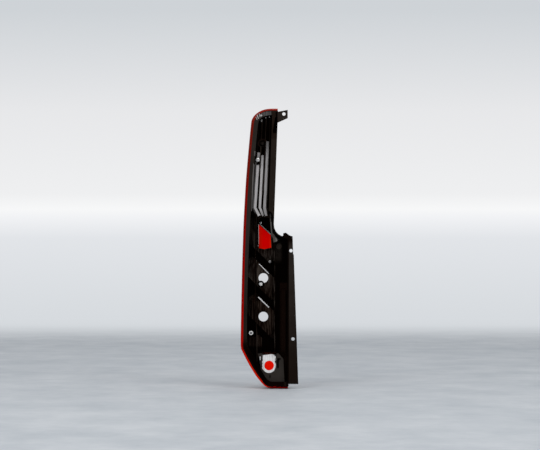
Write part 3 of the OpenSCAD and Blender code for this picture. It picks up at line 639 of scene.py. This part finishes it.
def lens_plastic(name, deep, pale, rough, pitch, through, bend):
    """A transparent lens plastic, with its fine upright prisms as a ripple on the inside."""
    made, nodes, links, shader = new_finish(name)
    shader.inputs["Transmission Weight"].default_value = through
    shader.inputs["IOR"].default_value = bend
    shader.inputs["Specular Tint"].default_value = (*pale, 1)
    surface = grained(nodes, 60, 9)
    tone = two_tones(nodes, links, surface["Cloud"], deep, pale)
    links.new(tone.outputs["Color"], shader.inputs["Base Color"])
    links.new(ranged(nodes, links, surface["Height"], low=rough, high=rough + 0.05),
              shader.inputs["Roughness"])
    where = nodes.new("ShaderNodeTexCoord")
    prisms = nodes.new("ShaderNodeTexWave")
    prisms.inputs["Scale"].default_value = math.tau / 20 / pitch
    links.new(where.outputs["Object"], prisms.inputs["Vector"])
    links.new(bumped(nodes, links, prisms.outputs["Fac"], 0.05, 0.0001), shader.inputs["Normal"])
    return made


# The welded foot is thick enough to look solid: bright at the toe, deeper upwards and darker along its
# bottom edge, with light through the plastic painted in as a paler top and a painted highlight along its top
# edge
foot, nodes, links, shader = new_finish("red lens foot")
shader.inputs["Roughness"].default_value = 0.35
shader.inputs["Specular IOR Level"].default_value = 0.06
shader.inputs["Specular Tint"].default_value = (0.9, 0.12, 0.06, 1)
where = nodes.new("ShaderNodeTexCoord")
height = directions(nodes, links, where)["Z"]
wander = nodes.new("ShaderNodeTexNoise")
wander.inputs["Scale"].default_value = 22
wander.inputs["Detail"].default_value = 3
links.new(where.outputs["Object"], wander.inputs["Vector"])
mixed = nodes.new("ShaderNodeMath")
mixed.operation = "MULTIPLY_ADD"
mixed.inputs[1].default_value = 0.35
links.new(wander.outputs["Fac"], mixed.inputs[0])
links.new(ranged(nodes, links, height, -0.25, 0.48), mixed.inputs[2])
reds = two_tones(nodes, links, mixed.outputs["Value"], (0.56, 0.0100, 0.0008), (0.15, 0.0075, 0.0035), 0.20)
for place, red in ((0.36, (0.38, 0.0022, 0.0004)), (0.60, (0.28, 0.0012, 0.0004)),
                   (0.82, (0.20, 0.0030, 0.0012))):
    reds.color_ramp.elements.new(place).color = (*red, 1)
links.new(painted(nodes, links, reds.outputs["Color"], (
    ((0.26, 0.0200, 0.0120), (height, 0.455, 1, 0.015)),
    ((0.50, 0.110, 0.090), (height, 0.4822, 1, 0.0008)),
    ((0.11, 0.0012, 0.0006), (height, -1, -0.2395, 0.0010)),
)), shader.inputs["Base Color"])

# Outside the lens is polished, and inside it is duller
deep_red, pale_red = (0.78, 0.004, 0.001), (0.84, 0.012, 0.002)
deep_clear, pale_clear = (0.885, 0.87, 0.865), (0.92, 0.91, 0.905)
red_outside = lens_plastic("red lens outside", deep_red, pale_red, 0.03, 0.004, 0.92, 1.49)
red_inside = lens_plastic("red lens inside", deep_red, pale_red, 0.08, 0.004, 1.0, 1.10)
clear_outside = lens_plastic("clear lens outside", deep_clear, pale_clear, 0.02, 0.003, 1.0, 1.49)
clear_inside = lens_plastic("clear lens inside", deep_clear, pale_clear, 0.05, 0.003, 1.0, 1.12)

# Through the stop window the inside is deeper at the top and on the left, and lit from below
nodes, links = red_inside.node_tree.nodes, red_inside.node_tree.links
shader = nodes["Principled BSDF"]
across, depth, height = directions(nodes, links, nodes["Texture Coordinate"])
window = (across, -0.10, -0.04, 0.002)
links.new(painted(nodes, links, nodes["Color Ramp"].outputs["Color"], (
    ((0.62, 0.00012, 0.00001), window, (height, 0.08, 0.24, 0.01)),
    ((0.43, 0.00005, 0.00001), window, (height, 0.158, 0.24, 0.022)),
    ((0.36, 0.0030, 0.0001), (across, -0.10, -0.0800, 0.0050), (height, 0.08, 0.24, 0.01)),
    ((0.66, 0.0260, 0.0010), (across, -0.0570, -0.04, 0.0024), (height, 0.08, 0.148, 0.008)),
    ((0.72, 0.0090, 0.0004), window, (height, 0.08, 0.119, 0.004)),
)), shader.inputs["Base Color"])
# Painted light: the fog lamp's part of the lens is given a red glow by emission, though no lamp lights it
links.new(layered(nodes, links, (0.0, 0.0, 0.0), (0.28, 0.0018, 0.0),
                  patch(nodes, links, (across, -0.078, -0.041, 0.002), (height, -0.204, -0.165, 0.002))),
          shader.inputs["Emission Color"])
shader.inputs["Emission Strength"].default_value = 1

foot_top = 0.0145
for piece, node, slot, outer, inner in (
    (shell, "red_lens", "red_lens", red_outside, red_inside),
    (band, "clear_lens", "clear_lens", clear_outside, clear_inside),
):
    dress(piece, outer, inner, foot)
    for face in piece.data.polygons:
        centre = face.center
        outwards = Vector((centre.x + 0.066, centre.y - 0.02, (centre.z - 0.12) * 0.15))
        at_foot = max(piece.data.vertices[v].co.y for v in face.vertices) < foot_top
        face.material_index = 2 if at_foot else 0 if face.normal.dot(outwards) > 0 else 1
    alone(piece)
    bpy.ops.object.shade_smooth_by_angle(angle=math.radians(32))
    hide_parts(node)
    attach(piece, "root")

# ---------------------------------------------------------------- reflectors
# Thin plastic shells, metallised on the side that faces the lens and dull silver on their backs.
def metallised(name, dark, pale, rough, pitch, metal):
    """A metallised plastic: soft upright streaks, uneven sheen and shallow flutes."""
    made, nodes, links, shader = new_finish(name)
    shader.inputs["Metallic"].default_value = metal
    where = nodes.new("ShaderNodeTexCoord")
    stretch = nodes.new("ShaderNodeMapping")
    stretch.inputs["Scale"].default_value = (1, 1, 0.06)
    links.new(where.outputs["Object"], stretch.inputs["Vector"])
    surface = nodes.new("ShaderNodeTexNoise")
    surface.inputs["Scale"].default_value = 260
    surface.inputs["Detail"].default_value = 3
    links.new(stretch.outputs["Vector"], surface.inputs["Vector"])
    tone = two_tones(nodes, links, surface.outputs["Fac"], dark, pale, 0.3, 0.7)
    links.new(tone.outputs["Color"], shader.inputs["Base Color"])
    links.new(ranged(nodes, links, surface.outputs["Fac"], low=rough, high=rough + 0.15),
              shader.inputs["Roughness"])
    flutes = nodes.new("ShaderNodeTexWave")
    flutes.inputs["Scale"].default_value = math.tau / 20 / pitch
    links.new(where.outputs["Object"], flutes.inputs["Vector"])
    links.new(bumped(nodes, links, flutes.outputs["Fac"], 0.3, 0.0003), shader.inputs["Normal"])
    return made


bright = (0.92, 0.91, 0.905), (0.97, 0.965, 0.96), 0.20, 0.004, 0.35
dull_silver = metallised("dull silver back", (0.76, 0.735, 0.720), (0.92, 0.895, 0.880), 0.28, 0.0035, 0.8)
bright_silver = metallised("bright metallising", *bright)
# Round its bulb opening the fog reflector carries a painted red reflection of the lens
reddened = metallised("bright metallising, red at its opening", *bright)
nodes, links = reddened.node_tree.nodes, reddened.node_tree.links
where = nodes["Texture Coordinate"]
from_hole = away_from(nodes, links, where, (-0.0595, 0.0180, -0.1848))
across, depth, height = directions(nodes, links, where)
links.new(painted(nodes, links, nodes["Color Ramp"].outputs["Color"], (
    ((0.80, 0.012, 0.001), (from_hole, -1, 0.0130, 0.0005)),
    # Its rim and its top, beyond the foil collar, carry painted shade from the panel, the top tinged red by a
    # painted reflection of the lens
    ((0.010, 0.005, 0.004), (from_hole, 0.0176, 1, 0.0004), (depth, -1, 0.0200, 0.0005)),
    ((0.20, 0.040, 0.020), (height, -0.1566, 1, 0.0008)),
)), nodes["Principled BSDF"].inputs["Base Color"])
# The strips of the upper reflector carry painted shade towards their top, the right-hand strip more so;
# that strip is also a little darker all along, with a painted shadow down its left edge
striped = metallised("dull silver strips", (0.76, 0.715, 0.700), (0.92, 0.870, 0.855), 0.28, 0.0035, 0.8)
nodes, links = striped.node_tree.nodes, striped.node_tree.links
across, depth, height = directions(nodes, links, nodes["Texture Coordinate"])
strip = slanted(nodes, links, across, height, 1.0, -0.05)
right_strip = (strip, -0.0895, 1, 0.0006)
links.new(painted(nodes, links, nodes["Color Ramp"].outputs["Color"], (
    ((0.47, 0.445, 0.435), (height, 0.350, 1, 0.030)),
    ((0.62, 0.585, 0.575), right_strip),
    ((0.20, 0.185, 0.18), right_strip, (height, 0.375, 1, 0.026)),
    ((0.07, 0.058, 0.054), (strip, -0.0895, -0.0861, 0.0004), (height, 0.255, 0.385, 0.010)),
)), nodes["Principled BSDF"].inputs["Base Color"])
for name, made in (
    ("upper_reflector", striped), ("stop_reflector", bright_silver), ("indicator_reflector", bright_silver),
    ("reversing_reflector", bright_silver), ("fog_reflector", reddened),
):
    dress(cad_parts[name], made)

# ---------------------------------------------------------------- bezel, seal and reflex insert
# The bezel is a gloss black panel behind the lens. The reflex insert is a red plate of small prisms,
# and the seal is a soft bead pressed into the joint.
gloss = moulded("gloss black bezel", (0.006, 0.006, 0.007), (0.010, 0.010, 0.011), 0.16, 400, 0.00002, 0.5)
soft = moulded("soft black bead", (0.008, 0.0075, 0.007), (0.013, 0.012, 0.011), 0.75, 1500, 0.00008)
dress(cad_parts["inner_bezel"], gloss)
dress(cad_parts["lens_seal"], soft)

prism, nodes, links, shader = new_finish("red reflex prisms")
shader.inputs["Roughness"].default_value = 0.12
where = nodes.new("ShaderNodeTexCoord")
cells = nodes.new("ShaderNodeTexVoronoi")
cells.inputs["Scale"].default_value = 420
cells.inputs["Randomness"].default_value = 0.0
links.new(where.outputs["Object"], cells.inputs["Vector"])
tone = two_tones(nodes, links, cells.outputs["Distance"], (0.42, 0.006, 0.003), (0.12, 0.002, 0.001))
links.new(tone.outputs["Color"], shader.inputs["Base Color"])
links.new(bumped(nodes, links, cells.outputs["Distance"], 0.8, 0.0006), shader.inputs["Normal"])
dress(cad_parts["reflex_insert"], prism)

# ---------------------------------------------------------------- screws, insert and breather cap
# Zinc-plated steel with a faint turned grain. The cap is moulded round a pale filter disc.
zinc = metallised("zinc plate", (0.56, 0.55, 0.53), (0.74, 0.73, 0.71), 0.28, 0.0008, 0.7)
# Painted light: a paler, less metallic copy of the zinc for the screws deep in the cavity, painted brighter
# to stand for the glints they catch
painted_lit_zinc = metallised("bright zinc plate", (0.90, 0.89, 0.87), (1.0, 0.99, 0.97), 0.30, 0.0008, 0.10)
# The lower of the stop reflector's two screws sits in the shade
nodes, links = painted_lit_zinc.node_tree.nodes, painted_lit_zinc.node_tree.links
height = directions(nodes, links, nodes["Texture Coordinate"])["Z"]
links.new(painted(nodes, links, nodes["Color Ramp"].outputs["Color"], (
    ((0.34, 0.325, 0.32), (height, 0.06, 0.13, 0.01)),
)), nodes["Principled BSDF"].inputs["Base Color"])
cap = moulded("black cap plastic", (0.0012, 0.0009, 0.0008), (0.0030, 0.0023, 0.0020), 0.45, 900, 0.00004)
for name, made in (
    ("upper_reflector_screw", zinc), ("stop_reflector_screws", painted_lit_zinc),
    ("indicator_reflector_screw", painted_lit_zinc), ("threaded_insert", zinc), ("breather_cap", cap),
):
    dress(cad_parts[name], made)

# ---------------------------------------------------------------- moulded lugs and small webs
# Small features of the black housing, moulded with it: the lug under the upper screw, three radial
# webs on the corner of the rim, three gussets under its top, the lit rib beside the column and the clip
# beside the fog lamp.
def moulded_outline(name, outlines, back, front, soften):
    """Flat-topped features drawn as outlines in millimetres and raised between two depths."""
    made = []
    for points in outlines:
        bpy.ops.object.select_all(action="DESELECT")
        bpy.ops.mesh.primitive_circle_add(vertices=len(points), radius=0.01, fill_type="NGON")
        feature = bpy.context.object
        for vertex, (x, z) in zip(feature.data.vertices, points):
            vertex.co = (x / 1000, front / 1000, z / 1000)
        bpy.ops.object.mode_set(mode="EDIT")
        bpy.ops.mesh.select_all(action="SELECT")
        extrude_by(0, (back - front) / 1000, 0)
        face_outwards()
        finish_with(feature, "BEVEL", width=soften / 1000, segments=2, limit_method="ANGLE")
        made.append(feature)
    bpy.ops.object.select_all(action="DESELECT")
    for feature in made:
        feature.select_set(True)
    bpy.context.view_layer.objects.active = made[0]
    if len(made) > 1:
        bpy.ops.object.join()
    piece = bpy.context.object
    piece.name = name
    bpy.ops.object.shade_smooth_by_angle(angle=math.radians(30))
    return piece


gloss_black = moulded("glossy black lugs", (0.0003, 0.0001, 0.0001), (0.0010, 0.0005, 0.0004), 0.34, 700,
                      0.00003, 0.01)
# The webs, gussets, pip and rib are black like the housing; these pale finishes are painted highlights where
# they catch the light
pale_edges = moulded("lit gusset edges", (0.130, 0.125, 0.120), (0.280, 0.272, 0.264), 0.4, 500, 0.00003)
bright_edges = moulded("lit web edges", (0.300, 0.292, 0.285), (0.460, 0.450, 0.440), 0.4, 500, 0.00003)
lit_rib = moulded("lit rib", (0.062, 0.056, 0.053), (0.110, 0.102, 0.098), 0.4, 500, 0.00003)
# Name, finish, depths of the back and the front, softness of the edges and outlines, in millimetres
details = (
    # The lug's near-black gloss also stands as painted shadow under the upper screw
    ("upper_screw_lug", gloss_black, 17, 9.5, 0.8, (
        ((-96.5, 345.6), (-93, 346.4), (-84.6, 346.4), (-82.0, 343), (-80.6, 336.6), (-82.6, 335.6),
         (-85.2, 339.2), (-88, 340.6), (-95, 340.2), (-97, 342.5)),
    )),
    ("corner_webs", bright_edges, 0.4, -0.6, 0.2, (
        ((-92.0, 468.2), (-90.2, 468.8), (-85.6, 457.8), (-87.0, 456.8), (-89.2, 460.2)),
        ((-86.2, 471.4), (-84.8, 471.8), (-82.6, 461.6), (-83.9, 461.0)),
        ((-94.8, 462.8), (-93.6, 463.6), (-89.6, 454.8), (-90.8, 454.2)),
    )),
    ("top_gussets", pale_edges, 10, 5.5, 0.3, (
        ((-80.4, 455.6), (-77.6, 456.8), (-77.2, 452.6), (-79.4, 449.8), (-80.6, 450.2)),
        ((-69.6, 462.2), (-66.8, 463.0), (-66.6, 459.8), (-69.0, 458.6)),
        ((-60.2, 464.6), (-57.6, 465.0), (-57.4, 460.6), (-59.6, 460.2)),
    )),
    ("rim_locating_pip", bright_edges, 0.9, -0.5, 0.3, (
        tuple((-80.1 + 2.7 * math.cos(a / 6 * math.pi), 466.2 + 2.7 * math.sin(a / 6 * math.pi))
              for a in range(12)),
    )),
    ("column_edge_rib", lit_rib, 2.0, -0.5, 0.3, (
        ((-98.8, 374.0), (-94.9, 374.0), (-95.7, 361.0), (-98.8, 361.0)),
        ((-100.4, 342.8), (-97.2, 337.6), (-99.3, 309.0), (-102.7, 241.4), (-104.3, 218.0), (-106.1, 218.0),
         (-105.3, 241.4), (-102.9, 309.0)),
    )),
    ("fog_clip", gloss_black, 15.2, 13.2, 0.3, (
        ((-38.6, -165.4), (-29.9, -166.0), (-29.9, -169.8), (-34.6, -169.8), (-34.8, -190.8),
         (-38.4, -191.2)),
        ((-58.6, -209.8), (-55.6, -209.8), (-56.3, -217.2), (-57.9, -217.2)),
        ((-85.6, -160.4), (-84.4, -160.2), (-84.6, -181), (-81.0, -190.5), (-82.6, -191), (-86.2, -182)),
    )),
)
for name, made, back, front, soften, outlines in details:
    piece = moulded_outline(name, outlines, back, front, soften)
    dress(piece, made)
    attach(piece, "root")

# A raised black collar stands round the head of the indicator reflector's screw; its gloss black puts a dark
# ring where the shadow in the gap between screw and boss falls, a painted shadow
bpy.ops.object.select_all(action="DESELECT")
bpy.ops.mesh.primitive_torus_add(major_segments=40, minor_segments=10,
                                 major_radius=0.0069, minor_radius=0.0013)
collar = bpy.context.object
collar.name = "indicator_screw_collar"
screw_x, collar_y, screw_z = -0.0809, 0.0050, 0.0284
for vertex in collar.data.vertices:
    x, y, z = vertex.co
    vertex.co = (screw_x + x, collar_y + z, screw_z - y)
face_outwards()
bpy.ops.object.shade_smooth_by_angle(angle=math.radians(60))
dress(collar, gloss_black)
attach(collar, "root")

# ---------------------------------------------------------------- bright lips and torn foil
# The stop reflector's lip shows as a thin bright line along the left side and top of its window: a strip
# of shaded silver laid there as a painted highlight where the lip catches the light. A torn edge of the fog
# reflector's metallised foil laps over the panel round its opening.
shaded_silver = metallised("shaded silver lip", (0.17, 0.160, 0.155), (0.27, 0.258, 0.252), 0.4, 0.004, 0.3)
satin_silver = metallised("satin silver edge", (0.60, 0.59, 0.585), (0.72, 0.71, 0.70), 0.3, 0.004, 0.3)
lips = (
    ("stop_window_lip", shaded_silver, 9.0, 7.6, 0.15, (
        ((-87.6, 182.6), (-86.4, 184.2), (-85.9, 150), (-86.0, 131.6), (-87.2, 131.6), (-87.4, 150)),
        ((-85.2, 184.6), (-83.8, 184.6), (-68.9, 171.0), (-54.6, 158.0), (-54.0, 156.0), (-55.0, 156.4),
         (-69.4, 169.8)),
        ((-89.4, 128.6), (-87.4, 129.2), (-86.8, 126.4), (-88.6, 125.4)),
    )),
    ("indicator_reflector_edge", dull_silver, 12.1, 11.0, 0.2, (
        ((-85.0, 80.9), (-60.0, 55.6), (-61.3, 54.2), (-86.0, 79.8)),
    )),
    ("reversing_reflector_edge", satin_silver, 16.0, 14.0, 0.2, (
        ((-86.9, -5.1), (-58.3, -33.4), (-60.3, -35.4), (-88.9, -7.1)),
    )),
    ("fog_foil_fragment", satin_silver, 15.1, 14.5, 0.15, (
        ((-85.6, -162.0), (-82.4, -161.0), (-81.2, -162.8), (-81.6, -166.8), (-81.0, -170.0), (-83.2, -171.2),
         (-85.0, -168.0), (-84.2, -164.6)),
    )),
)
for name, made, back, front, soften, outlines in lips:
    piece = moulded_outline(name, outlines, back, front, soften)
    dress(piece, made)
    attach(piece, "root")

# The foil's flat collar: a torn outline outside, in millimetres, and a round hole for the bulb inside
torn = [
    (-75.66, -158.47), (-71.24, -157.43), (-65.52, -157.17), (-59.02, -155.87), (-52.52, -155.09),
    (-48.36, -155.87), (-46.02, -158.47), (-42.64, -160.55), (-41.86, -164.19), (-44.46, -167.57),
    (-42.64, -170.95), (-45.24, -174.59), (-45.24, -179.79), (-41.86, -182.13), (-42.12, -184.73),
    (-45.50, -186.55), (-44.46, -192.53), (-46.28, -197.47), (-50.44, -201.37), (-55.38, -203.71),
    (-60.84, -204.23), (-66.04, -203.19), (-70.72, -200.33), (-75.66, -195.13), (-78.00, -190.45),
    (-76.44, -186.03), (-78.26, -182.91), (-75.66, -180.05), (-78.00, -175.63), (-75.66, -170.43),
    (-76.44, -165.75), (-75.66, -162.63), (-76.18, -160.03),
]
hole_x, foil_y, hole_z, hole_r = -0.0595, 0.0149, -0.1848, 0.0126
bpy.ops.object.select_all(action="DESELECT")
bpy.ops.mesh.primitive_circle_add(vertices=len(torn), radius=0.02, fill_type="NOTHING")
foil = bpy.context.object
foil.name = "fog_foil_collar"
bpy.ops.object.mode_set(mode="EDIT")
bpy.ops.mesh.select_mode(type="VERT")
bpy.ops.mesh.select_all(action="SELECT")
extrude_by(0, 0, 0)
bpy.ops.object.mode_set(mode="OBJECT")
for k, (x, z) in enumerate(torn):
    foil.data.vertices[k].co = (x / 1000, foil_y, z / 1000)
for edge in foil.data.edges:
    a, b = sorted(edge.vertices)
    if a < len(torn) <= b:
        x, z = torn[a]
        away = Vector((x / 1000 - hole_x, z / 1000 - hole_z)).normalized()
        foil.data.vertices[b].co = (hole_x + away.x * hole_r, foil_y, hole_z + away.y * hole_r)
finish_with(foil, "SOLIDIFY", thickness=0.0005, offset=0)
face_outwards()
bpy.ops.object.shade_smooth_by_angle(angle=math.radians(30))
dress(foil, metallised("bright foil", (0.68, 0.655, 0.645), (1.0, 0.985, 0.975), 0.30, 0.002, 0.08))
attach(foil, "root")

# ---------------------------------------------------------------- lower seal bead
# Black sealing compound fills the wider joint round the lower corner, level with the rim; its near-black
# is also painted shade, as the light does not reach that corner.
corner_top, lens_side, rim_side = -0.120, 0.0040, 0.0115
corner = [i for i in range(rows) if outline[i][1] < corner_top]
outside = [inset_point(i, lens_side) for i in corner]
within = [inset_point(i, rim_side) for i in reversed(corner)]
bead_outline = [(x * 1000, z * 1000) for x, z in outside + within]
bead = moulded_outline("lower_seal_bead", [bead_outline], 5.0, 0.3, 0.3)
dress(bead, moulded("glossy black compound", (0.0008, 0.0003, 0.0002), (0.0016, 0.0007, 0.0004), 0.5,
                    500, 0.0002))
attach(bead, "root")

# ---------------------------------------------------------------- breather filter
# A grey sintered disc, pressed into the mouth of the breather cap.
bpy.ops.object.select_all(action="DESELECT")
bpy.ops.mesh.primitive_circle_add(vertices=32, radius=0.0034, fill_type="NGON")
disc = bpy.context.object
disc.name = "breather_filter_disc"
disc_x, disc_y, disc_z, disc_depth = -0.0767, 0.0078, 0.3935, 0.0008
for vertex in disc.data.vertices:
    vertex.co = (disc_x + vertex.co.x, disc_y, disc_z + vertex.co.y)
bpy.ops.object.mode_set(mode="EDIT")
bpy.ops.mesh.select_all(action="SELECT")
extrude_by(0, -disc_depth, 0)
bpy.ops.mesh.inset(thickness=0.0009, depth=0.0003)
bpy.ops.mesh.inset(thickness=0.0010, depth=-0.0002)
face_outwards()
finish_with(disc, "BEVEL", width=0.0002, segments=2, limit_method="ANGLE")
bpy.ops.object.shade_smooth_by_angle(angle=math.radians(30))
dress(disc, moulded("sintered grey filter", (0.009, 0.0065, 0.0055), (0.026, 0.020, 0.017), 0.8,
                    2600, 0.00015, 0.02))
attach(disc, "root")
